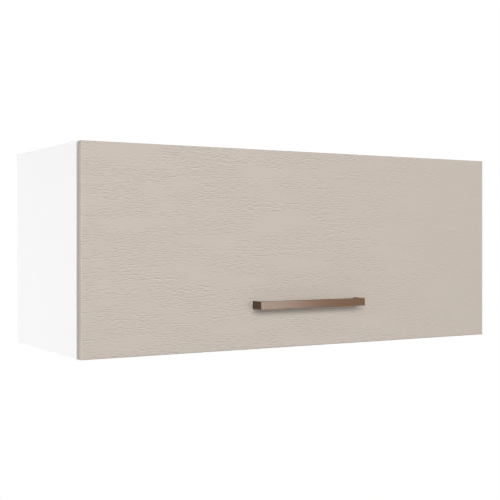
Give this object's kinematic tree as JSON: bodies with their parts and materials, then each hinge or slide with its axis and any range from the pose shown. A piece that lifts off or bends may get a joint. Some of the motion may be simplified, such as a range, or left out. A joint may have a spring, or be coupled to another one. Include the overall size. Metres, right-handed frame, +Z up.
{
  "type": "lift up wall cabinet",
  "caption": "Wall cabinet with a full-overlay flap door on concealed top hinges, spring lift arms inside, a bar handle and adjustable hangers that hook on wall plates.",
  "frame": {"origin": "on the wall plane, at the middle of the cabinet's width, level with its underside", "axes": "+X to the right as seen from the front, +Y into the wall (the front faces -Y), +Z up; the door is closed"},
  "size_m": [0.8, 0.3345, 0.328],
  "materials": {
    "white_board": "white melamine, fine satin",
    "white_back": "white lacquered hardboard, satin",
    "white_band": "white edge band, satin",
    "door_foil": "beige foil, fine horizontal embossed grain, matt",
    "bronze": "bronze, brushed satin",
    "nickel": "nickel plated, satin",
    "zinc": "zinc plated, satin",
    "spring_steel": "oiled spring steel",
    "white_plastic": "white moulded plastic, satin",
    "grey_plastic": "grey moulded plastic, satin",
    "beech": "plain beech",
    "clear_rubber": "clear soft buffer"
  },
  "bodies": {
    "carcass": {"left_side_panel": "white_board", "right_side_panel": "white_board", "top_panel": "white_board", "bottom_panel": "white_board", "back_panel": "white_back", "edge_bands": "white_band", "cam_locks": "zinc", "cam_bolts": "nickel", "dowels": "beech", "cam_caps": "white_plastic", "door_buffers": "clear_rubber", "left_hinge_arm": "nickel", "right_hinge_arm": "nickel", "left_hinge_plate": "nickel", "right_hinge_plate": "nickel", "hinge_plate_screws": "zinc", "hinge_arm_screws": "zinc", "left_lift_housing": "grey_plastic", "right_lift_housing": "grey_plastic", "left_lift_spring": "spring_steel", "right_lift_spring": "spring_steel", "left_lift_axle": "nickel", "right_lift_axle": "nickel", "force_screws": "zinc", "left_lift_cap": "white_plastic", "right_lift_cap": "white_plastic", "lift_screws": "zinc", "left_hanger": "white_plastic", "right_hanger": "white_plastic", "left_hanger_hook": "nickel", "right_hanger_hook": "nickel", "hanger_screws": "zinc", "left_hanger_cap": "white_plastic", "right_hanger_cap": "white_plastic", "left_wall_plate": "zinc", "right_wall_plate": "zinc"},
    "door": {"door_panel": "door_foil", "handle": "bronze", "handle_screws": "nickel", "left_hinge_cup": "nickel", "right_hinge_cup": "nickel", "hinge_pins": "zinc", "hinge_cup_screws": "zinc", "left_door_bracket": "nickel", "right_door_bracket": "nickel", "bracket_pins": "zinc", "bracket_screws": "zinc"},
    "left_lever": {"left_lever": "zinc", "left_elbow_pin": "nickel"},
    "right_lever": {"right_lever": "zinc", "right_elbow_pin": "nickel"},
    "left_link": {"left_link": "zinc"},
    "right_link": {"right_link": "zinc"}
  },
  "joints": [
    {"name": "door_lift", "type": "hinge", "parent": "carcass", "child": "door", "pos_m": [0, -0.301, 0.3197], "axis": [-1, 0, 0], "range_deg": [0, 90]},
    {"name": "left_lever_swing", "type": "hinge", "parent": "carcass", "child": "left_lever", "pos_m": [-0.365, -0.171, 0.2947], "axis": [-1, 0, 0], "range_deg": [0, 90]},
    {"name": "left_link_swing", "type": "hinge", "parent": "left_lever", "child": "left_link", "pos_m": [-0.365, -0.1505, 0.1947], "axis": [-1, 0, 0], "range_deg": [-90, 0]},
    {"name": "right_lever_swing", "type": "hinge", "parent": "carcass", "child": "right_lever", "pos_m": [0.365, -0.171, 0.2947], "axis": [-1, 0, 0], "range_deg": [0, 90]},
    {"name": "right_link_swing", "type": "hinge", "parent": "right_lever", "child": "right_link", "pos_m": [0.365, -0.1505, 0.1947], "axis": [-1, 0, 0], "range_deg": [-90, 0]}
  ],
  "couplings": [
    {"joint": "left_lever_swing", "follows": "door_lift", "ratio": 1},
    {"joint": "left_link_swing", "follows": "door_lift", "ratio": -1},
    {"joint": "right_lever_swing", "follows": "door_lift", "ratio": 1},
    {"joint": "right_link_swing", "follows": "door_lift", "ratio": -1}
  ]
}
